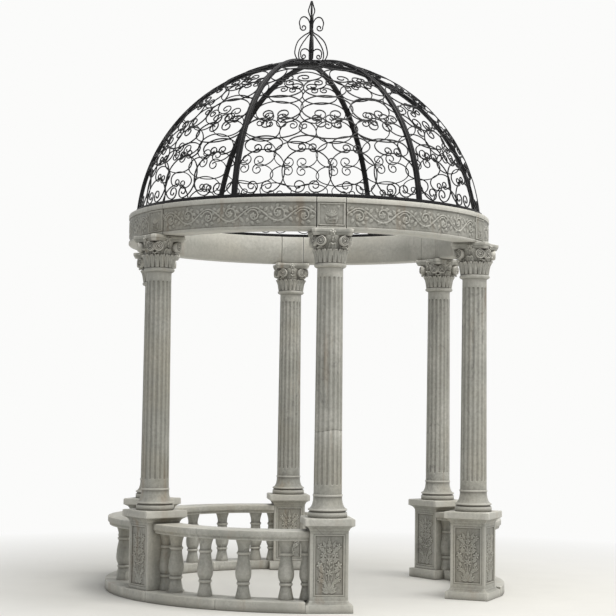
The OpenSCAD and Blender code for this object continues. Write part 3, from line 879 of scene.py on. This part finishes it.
def spiral(centre, size, start, turns, hand, left=0.22, count=22):
    """Points of a spiral that runs in to a share of its size."""
    t = np.linspace(0, 1, count)
    a = np.radians(start + hand * 360 * turns * t)
    r = size * (1 - (1 - left) * t)
    return list(zip(centre[0] + r * np.cos(a), centre[1] + r * np.sin(a)))


def scrolling_leaves(s, z, length):
    """Relief of a wavy vine with spirals, leaves and flowers, over the sunk field."""
    cell = length / WAVES
    middle = (BOTTOM_STRIP + RING_HEIGHT - TOP_STRIP) / 2
    vine = [(x, middle + VINE_SWING * math.sin(math.pi * x / cell)) for x in
            np.linspace(10, length - 10, 90)]
    h = stalk(s, z, vine, 7, 6.5)
    for k in range(WAVES):
        hand = 1 if k % 2 == 0 else -1
        x0 = (k + 0.5) * cell
        centre = (x0, middle - hand * 10)
        near = np.abs(s - x0) < cell
        at = s[near], z[near]
        parts = [h[near], flower(*at, centre, 26, 5, 8.5, 0.4 * k),
                 stalk(*at, spiral(centre, VINE_SWING, 90 * hand + 60, 1.15, -hand), 6.5, 7)]
        for way, reach, size in ((200, 48, 46), (330, 50, 48.3), (250, 55, 41.4),
                                 (20, 52, 39.1), (150, 54, 39.1), (290, 58, 39.1)):
            a = math.radians(way * hand)
            foot = (centre[0] + reach * math.cos(a), centre[1] + reach * 0.8 * math.sin(a))
            parts.append(leaf(*at, foot, (way + 55) * hand, size, 25, 7.5))
        for side in (-1, 1):
            foot = (x0 + side * cell * 0.42, middle + hand * 20)
            parts.append(leaf(*at, foot, (90 - side * 40) * hand, 52, 26, 7.5))
            foot = (x0 + side * cell * 0.22, middle + hand * 62)
            parts.append(leaf(*at, foot, -90 * hand + side * 60, 46, 24, 7))
        h[near] = np.max(parts, 0)
    return h


def block_fan(s, z, width):
    """Relief of a block: a framed panel, a fan of petals over bars, and small flowers."""
    x = s - width / 2
    low = BOTTOM_STRIP + 12
    high = RING_HEIGHT - TOP_STRIP - 8
    edge = np.minimum(width / 2 - 20 - np.abs(x), np.minimum(z - low, high - z))
    parts = [5.5 * ((edge > -7) & (edge < 1)), flower(x, z, (0, low + 64), 13, 6, 7, 0)]
    parts += [leaf(x, z, (0, low + 62), way, 58, 15, 6) for way in range(30, 151, 20)]
    parts += [5 * ((np.abs(z - low - level) < 3.5) & (np.abs(x) < 30 + level * 0.4))
              for level in (14, 26, 38, 50)]
    for side in (-1, 1):
        parts += [leaf(x, z, (side * 34, low + 14), 90 - side * 12, 60, 17, 5.5),
                  flower(x, z, (side * 56, high - 24), 14, 5, 5, 0.2)]
    return np.max(parts, 0)


def ring_length(middle, half, relief, columns, rows, field):
    """A closed length of the ring beam with its outer face carved."""
    start = math.radians(middle - half)
    end = math.radians(middle + half)
    gap = JOINT_GAP / RING_OUTER
    angles = np.linspace(start + gap, end - gap, columns)
    length = (end - start) * RING_OUTER
    face_z = np.concatenate([[0, 3], [BOTTOM_STRIP - 6, BOTTOM_STRIP],
                             np.linspace(BOTTOM_STRIP + 3, RING_HEIGHT - TOP_STRIP - 3, rows),
                             [RING_HEIGHT - TOP_STRIP, RING_HEIGHT - TOP_STRIP + 5,
                              RING_HEIGHT - 5, RING_HEIGHT]])
    s, z = np.meshgrid((angles - start) * RING_OUTER, face_z)
    inside = np.interp(face_z, [BOTTOM_STRIP - 6, BOTTOM_STRIP, RING_HEIGHT - TOP_STRIP,
                                RING_HEIGHT - TOP_STRIP + 5], [0, 1, 1, 0])[:, None]
    depth = inside * np.clip(field - relief(s, z, length), -0.5, field)
    depth[0] = depth[-1] = 3.0
    depth[1] = np.maximum(depth[1], 0.2)
    rows = [(RING_OUTER - 0.5 - d, height) for d, height in zip(depth, face_z)]
    rows += [(RING_INNER + 6, RING_HEIGHT), (RING_INNER, RING_HEIGHT - 6),
             (RING_INNER, RING_HEIGHT * 0.5), (RING_INNER, 6), (RING_INNER + 6, 0)]
    grid = [np.stack([r * np.sin(angles), -r * np.cos(angles),
                      np.full(columns, ring_foot + height)], -1) for r, height in rows]
    # Painted shade, partly dirt: the deepest parts of the sunk field are coloured darker
    sunk_shade_and_dirt = [SUNK_SHADE_AND_DIRT * np.clip(d - 0.45 * field, 0, None) / (0.55 * field) * (deep > 0.5)
            for d, deep in zip(depth, inside)]
    sunk_shade_and_dirt += [np.zeros(columns)] * (len(rows) - len(depth))
    points, faces = skin(np.stack(grid, 1))
    return points, faces, np.stack(sunk_shade_and_dirt, 1).reshape(-1)


blocks = [ring_length(i * 60, block_turn, block_fan, 44, 32, 6.5) for i in range(6)]
finish_piece("carved_ring_blocks", blocks, marble, "ring_blocks", sharp=50)
for i in range(6):
    length = ring_length(i * 60 + 30, 30 - block_turn, scrolling_leaves, 250, 36, FIELD_DEPTH)
    finish_piece("leaf_frieze_%d" % (i + 1), [length], marble, "frieze_%d" % (i + 1),
                 sharp=50)

# ---- Dome ring and ribs ----
# A flat wrought iron ring laid on the marble, and six curved ribs welded to it, forged with
# a raised ridge along the outside. Everything is under the same black satin paint.

DOME_RADIUS = COLUMN_CIRCLE - 22
DOME_RING_HALF = 23.0
DOME_SINK = 105.0
RIB_HALF_WIDTH = 22.5
RIB_HALF_DEPTH = 17.0
CROWN_RADIUS = 120.0
dome_ring_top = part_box("dome_ring")[1].z * 1000
dome_middle = ring_top - DOME_SINK
crown_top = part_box("dome_crown")[1].z * 1000
crown_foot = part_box("dome_crown")[0].z * 1000


def painted_iron():
    """Wrought iron under black satin paint: forge dents, brush unevenness and a little
    brown dust where the paint lies thin."""
    finish, tree = new_finish("black_painted_wrought_iron")
    where = add(tree, "ShaderNodeTexCoord").outputs["Object"]
    patch = add(tree, "ShaderNodeTexNoise", {
        "Vector": where, "Scale": 9.0, "Detail": 6.0, "Roughness": 0.65}).outputs["Fac"]
    paint = lay_coats(tree, linear("#0E0E10"), (
        (patch, 0.4, 0.62, 0.0, 1.0, "#19191B"), (patch, 0.6, 0.74, 0.0, 0.5, "#2A2420")))
    sheen = add(tree, "ShaderNodeMapRange", [patch, 0.3, 0.7, 0.42, 0.6])
    # Hammer marks about 15 mm across
    dents = add(tree, "ShaderNodeTexNoise", {
        "Vector": where, "Scale": 65.0, "Detail": 3.0}).outputs["Fac"]
    bump = add(tree, "ShaderNodeBump", {"Strength": 0.4, "Distance": 0.0015, "Height": dents})
    shader = add(tree, "ShaderNodeBsdfPrincipled", {
        "Base Color": paint, "Roughness": sheen, "Normal": bump, "Specular IOR Level": 0.18})
    add(tree, "ShaderNodeOutputMaterial", {"Surface": shader})
    return finish


iron = painted_iron()

inside = DOME_RADIUS - DOME_RING_HALF
outside = DOME_RADIUS + DOME_RING_HALF
section = rounded([(inside, ring_top), (outside, ring_top),
                   (outside, dome_ring_top), (inside, dome_ring_top)], 3)
rings = [round_row(radius, height, 144) for radius, height in section]
shell = skin(rings + rings[:1], ends=False)
finish_piece("dome_foot_ring", [shell], iron, "dome_ring")

# Half of the rib's section as (side, up) points: flat back, worn edges, raised ridge
side = RIB_HALF_WIDTH
back = -RIB_HALF_DEPTH
rib_half = [(3, -back), (6, 15), (9, 10.5), (20, 9), (side, 6), (side, back + 2),
            (side - 2, back)]
rib_section = rib_half + [(-x, up) for x, up in rib_half[::-1]]
foot_rise = math.asin((dome_ring_top - dome_middle - 4) / DOME_RADIUS)
head_rise = math.acos((CROWN_RADIUS - 8) / DOME_RADIUS)
ribs = []
for i in range(6):
    rings = []
    for rise in np.linspace(foot_rise, head_rise, 49):
        out = np.array([0, -math.cos(rise), math.sin(rise)])
        rings.append([np.array([0, 0, dome_middle]) + out * (DOME_RADIUS + up)
                      + np.array([side, 0, 0]) for side, up in rib_section])
    points, faces = skin(rings)
    ribs.append((turn(points, 30 + 60 * i), faces))
finish_piece("ridged_dome_ribs", ribs, iron, "dome_ribs", sharp=30)

# ---- Dome scrollwork ----
# Thin square bars bent cold into scrolls and welded between the ribs: each scroll is one
# bar that runs out into a loop and rolls up inside it at both ends. Big round loops stand
# on the ring, and flat pairs and loops take turns up to the crown.

SCROLL_BAR = 8.0
# Foot and head of each row in degrees up the dome, loops in a gore, overlap of the loops
# on their neighbours, and whether the rolled ends are at the foot (1) or the head (-1)
SCROLL_ROWS = (
    (5.8, 19.8, 4, 1.06, 1), (18.9, 24.6, 4, 0.88, 1), (23.6, 31.6, 3, 1.06, -1),
    (30.8, 41.6, 3, 1.04, 1), (40.8, 50.6, 3, 1.0, -1), (49.8, 60.0, 2, 1.0, 1),
    (59.2, 68.6, 2, 1.0, -1), (67.8, 80.6, 1, 0.96, 1))


def scroll_line(half_wide, half_high):
    """One bar as (across, up) points: roll, loop, roll."""
    roll = min(0.28 * half_wide, 0.55 * half_high)
    inward = max(0.30 * half_wide, 1.15 * roll)
    right = []
    for t in np.radians(np.linspace(90, 0, 14, endpoint=False)):
        right.append((half_wide * math.cos(t), half_high * math.sin(t)))
    for t in np.radians(np.linspace(0, -90, 12, endpoint=False)):
        right.append((inward + (half_wide - inward) * math.cos(t), half_high * math.sin(t)))
    for t in np.linspace(0, 1, 24):
        a = math.radians(-90 - 440 * t)
        r = roll * (1 - 0.74 * t)
        right.append((inward + r * math.cos(a), roll - half_high + r * math.sin(a)))
    left = [(-x, z) for x, z in right[:0:-1]]
    return np.array(left + right)


def gore_lines():
    """The bars of one gore as one mesh of edges. Its x is the angle across the gore and
    its y the angle up the dome, both in radians."""
    points = []
    edges = []
    for low, high, count, overlap, hand in SCROLL_ROWS:
        middle = (low + high) / 2
        squeeze = math.cos(math.radians(middle))
        rib_angle = math.degrees(RIB_HALF_WIDTH / DOME_RADIUS / squeeze)
        cell = (60 - 2 * rib_angle) / count
        half_wide = cell / 2 * overlap * squeeze
        half_high = (high - low) / 2
        line = scroll_line(half_wide, half_high) * [1, hand]
        for k in range(count):
            across = (k + 0.5 - count / 2) * cell + line[:, 0] / squeeze
            limit = 30 - rib_angle * 0.7
            across = np.clip(across, -limit, limit)
            start = len(points)
            points += [(math.radians(x), math.radians(middle + y), 0)
                       for x, y in zip(across, line[:, 1])]
            edges += [(start + n, start + n + 1) for n in range(len(line) - 1)]
    mesh = bpy.data.meshes.new("gore_lines")
    mesh.from_pydata(points, edges, [])
    return mesh


def scroll_tree():
    """Lays lines drawn in angles on the dome and gives them a square bar's thickness."""
    tree, given = new_tree("scrollwork_on_dome", [
        ("Dome radius", "Float"), ("Dome middle", "Float"), ("Gore", "Float"), ("Bar", "Float")])
    drawing, radius, middle, gore, thick = given[:5]
    curve = add(tree, "GeometryNodeMeshToCurve", {"Mesh": drawing})
    drawn = add(tree, "GeometryNodeInputPosition")
    across, rise, _ = add(tree, "ShaderNodeSeparateXYZ", [drawn]).outputs
    swing = add(tree, "ShaderNodeMath", [across, gore], operation="ADD")
    swing_sine, swing_cosine, rise_sine, rise_cosine = (
        add(tree, "ShaderNodeMath", [angle], operation=kind)
        for angle in (swing, rise) for kind in ("SINE", "COSINE"))
    x = add(tree, "ShaderNodeMath", [rise_cosine, swing_sine], operation="MULTIPLY")
    y = add(tree, "ShaderNodeMath", [rise_cosine, swing_cosine], operation="MULTIPLY")
    y = add(tree, "ShaderNodeMath", [y, -1.0], operation="MULTIPLY")
    way = add(tree, "ShaderNodeCombineXYZ", [x, y, rise_sine])
    reach = add(tree, "ShaderNodeVectorMath", {0: way, "Scale": radius},
                operation="SCALE")
    lift = add(tree, "ShaderNodeCombineXYZ", {"Z": middle})
    place = add(tree, "ShaderNodeVectorMath", [reach, lift], operation="ADD")
    facing = add(tree, "GeometryNodeSetCurveNormal", {"Curve": curve, "Normal": way},
                 mode="FREE")
    laid = add(tree, "GeometryNodeSetPosition", {
        "Geometry": facing, "Position": place})
    square = add(tree, "GeometryNodeCurvePrimitiveQuadrilateral", {
        "Width": thick, "Height": thick})
    bars = add(tree, "GeometryNodeCurveToMesh", {
        "Curve": laid, "Profile Curve": square, "Fill Caps": True})
    end_tree(tree, bars, iron)
    return tree


laying = scroll_tree()
for i in range(6):
    made = run_tree(laying, gore_lines(), {
        "Dome radius": DOME_RADIUS / 1000, "Dome middle": dome_middle / 1000,
        "Gore": math.radians(i * 60), "Bar": SCROLL_BAR / 1000})
    finish_mesh("dome_scrollwork_%d" % (i + 1), made, "dome_scrolls_%d" % (i + 1))

# ---- Crown and finial ----
# An iron plate that the ribs are welded under, and on it the finial: a round rod in an
# onion-shaped cage of bent bars, curls inside its foot and above it, and a spear head.

ROD_RADIUS = 12.5
FINIAL_BAR = 12.0
FINIAL_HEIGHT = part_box("finial")[1].z * 1000 - crown_top
FINIAL_DRAWN = 540.0

plate = [(CROWN_RADIUS - 10, crown_foot), (CROWN_RADIUS - 4, crown_foot + 4),
         (CROWN_RADIUS - 4, crown_top - 14), (CROWN_RADIUS - 9, crown_top - 8),
         (CROWN_RADIUS - 40, crown_top - 3), (40, crown_top)]
finish_piece("crown_plate", [lathe(plate, 48)], iron, "dome_crown")


def smooth_line(stops, bits=10):
    """A smooth curve through (x, z) stops."""
    stops = np.array(stops, float)
    padded = np.concatenate([[2 * stops[0] - stops[1]], stops, [2 * stops[-1] - stops[-2]]])
    out = []
    for k in range(len(stops) - 1):
        a, b, c, d = padded[k:k + 4]
        for t in np.linspace(0, 1, bits, endpoint=False):
            out.append(0.5 * (2 * b + (c - a) * t + (2 * a - 5 * b + 4 * c - d) * t * t
                              + (3 * b - a - 3 * c + d) * t ** 3))
    out.append(stops[-1])
    return out


# The bars on one side of the rod as (out, up) points, drawn for a finial 540 mm tall
share = FINIAL_HEIGHT / FINIAL_DRAWN
lines = [
    smooth_line([(106, 0), (134, 40), (143, 88), (120, 170), (70, 225), (30, 250), (13, 262)]),
    smooth_line([(96, 0), (110, 50), (102, 106), (76, 160), (40, 212), (13, 246)]),
    smooth_line([(12, 78), (26, 100), (50, 112), (78, 104), (92, 80), (90, 50)])
    + spiral((66, 46), 24, 5, 1.15, -1, 0.28, 26),
    smooth_line([(12, 335), (30, 374), (60, 395), (90, 384), (106, 346), (100, 310)])
    + spiral((70, 300), 30, 12, 1.15, -1, 0.28, 26),
    smooth_line([(8, 392), (22, 428), (27, 455), (14, 500), (4, 536)])]
shells = [lathe([(ROD_RADIUS + 8, 0), (ROD_RADIUS + 8, 10), (ROD_RADIUS, 16),
                 (ROD_RADIUS, 240), (ROD_RADIUS + 6, 252), (ROD_RADIUS + 7, 266),
                 (ROD_RADIUS + 6, 280), (ROD_RADIUS, 290), (ROD_RADIUS - 2, 380),
                 (ROD_RADIUS + 3, 388), (ROD_RADIUS - 2, 396), (4, 402)], 20)]
shells += [lathe([(5, 400), (4, 470), (3, FINIAL_HEIGHT - 8), (1.5, FINIAL_HEIGHT - 0.5)], 10)]
for line in lines:
    path = [(x, 0, z * share) for x, z in line]
    points, faces = bar(path, FINIAL_BAR, FINIAL_BAR * 0.8)
    shells += [(turn(points, way), faces) for way in range(0, 360, 90)]
shells = [(points + [0, 0, crown_top], faces) for points, faces in shells]
finish_piece("spear_finial", shells, iron, "finial")

# ---- Floor, light and camera ----
# A plain pale floor, soft studio light from above and a little from the right, and a
# camera at eye height outside the entrance.

EYE_HEIGHT = 1.571
CAMERA_DISTANCE = 13.366
CAMERA_TURN = -6.41
CAMERA_PITCH = 3.51
CAMERA_ROLL = 0.7
LENS = 90.46
BACKDROP = "#FBFBFA"
FLOOR_FADE = (2.2, 6.0)


def floor_finish():
    """Matt pale screed. The camera and reflections see it almost white."""
    finish, tree = new_finish("pale_floor")
    where = add(tree, "ShaderNodeTexCoord").outputs["Object"]
    mottle = add(tree, "ShaderNodeTexNoise", {"Vector": where, "Scale": 3.0}).outputs["Fac"]
    tone = lay_coats(tree, linear("#D2D1CD"), [(mottle, 0.0, 1.0, 0.0, 1.0, "#D9D8D4")])
    shader = add(tree, "ShaderNodeBsdfPrincipled", {"Base Color": tone, "Roughness": 0.9})
    # Away from the object the floor goes over into the pale backdrop
    far = add(tree, "ShaderNodeVectorMath", [where], operation="LENGTH").outputs["Value"]
    ray = add(tree, "ShaderNodeLightPath")
    seen = add(tree, "ShaderNodeMath", [ray.outputs["Is Camera Ray"], ray.outputs["Is Glossy Ray"]],
               operation="MAXIMUM")
    faded = add(tree, "ShaderNodeMapRange", [far, *FLOOR_FADE])
    share = add(tree, "ShaderNodeMath", [faded, seen], operation="MULTIPLY")
    glow = add(tree, "ShaderNodeEmission", {"Color": linear(BACKDROP), "Strength": 1.0})
    mixed = add(tree, "ShaderNodeMixShader", [share, shader, glow])
    add(tree, "ShaderNodeOutputMaterial", {"Surface": mixed})
    return finish


bpy.ops.mesh.primitive_plane_add(size=60, location=(0, 0, -0.001))
ground = bpy.context.object
ground.name = "floor"
ground.data.materials.append(floor_finish())

world = bpy.data.worlds.new("studio")
bpy.context.scene.world = world
world.use_nodes = True
sky = world.node_tree
sky.nodes.clear()
ray = add(sky, "ShaderNodeLightPath")
seen = 0.0
for kind in ("Is Camera Ray", "Is Glossy Ray", "Is Transmission Ray"):
    seen = add(sky, "ShaderNodeMath", [ray.outputs[kind], seen], operation="MAXIMUM")
soft = add(sky, "ShaderNodeBackground", {"Color": linear("#EEF0F2"), "Strength": 0.40})
pale = add(sky, "ShaderNodeBackground", {"Color": linear(BACKDROP), "Strength": 1.0})
both = add(sky, "ShaderNodeMixShader", [seen, soft, pale])
add(sky, "ShaderNodeOutputWorld", {"Surface": both})


def soft_light(name, place, aim, size, watts, colour):
    """A square soft box that looks from one place at another."""
    lamp = bpy.data.lights.new(name, "AREA")
    lamp.shape = "SQUARE"
    lamp.size = size
    lamp.energy = watts
    lamp.color = linear(colour)[:3]
    box = bpy.data.objects.new(name, lamp)
    bpy.context.collection.objects.link(box)
    box.location = place
    box.rotation_euler = (Vector(aim) - Vector(place)).to_track_quat("-Z", "Y").to_euler()


soft_light("overhead", (2.5, -2.5, 12.0), (0, 0, 2), 8.0, 1650, "#FFFDF8")
soft_light("right_side", (9.0, -9.0, 6.0), (0, 0, 2), 6.0, 110, "#FFFBF4")

eye = bpy.data.cameras.new("camera")
eye.lens = LENS
eye.sensor_width = 36
camera = bpy.data.objects.new("camera", eye)
bpy.context.collection.objects.link(camera)
aside = math.sin(math.radians(CAMERA_TURN))
away = math.cos(math.radians(CAMERA_TURN))
camera.location = (CAMERA_DISTANCE * aside, -CAMERA_DISTANCE * away, EYE_HEIGHT)
look = Vector((-aside, away, math.tan(math.radians(CAMERA_PITCH))))
facing = look.to_track_quat("-Z", "Y").to_matrix().to_4x4()
camera.rotation_euler = (facing @ Matrix.Rotation(math.radians(CAMERA_ROLL), 4, "Z")).to_euler()
bpy.context.scene.camera = camera
bpy.context.scene.view_settings.view_transform = "Standard"
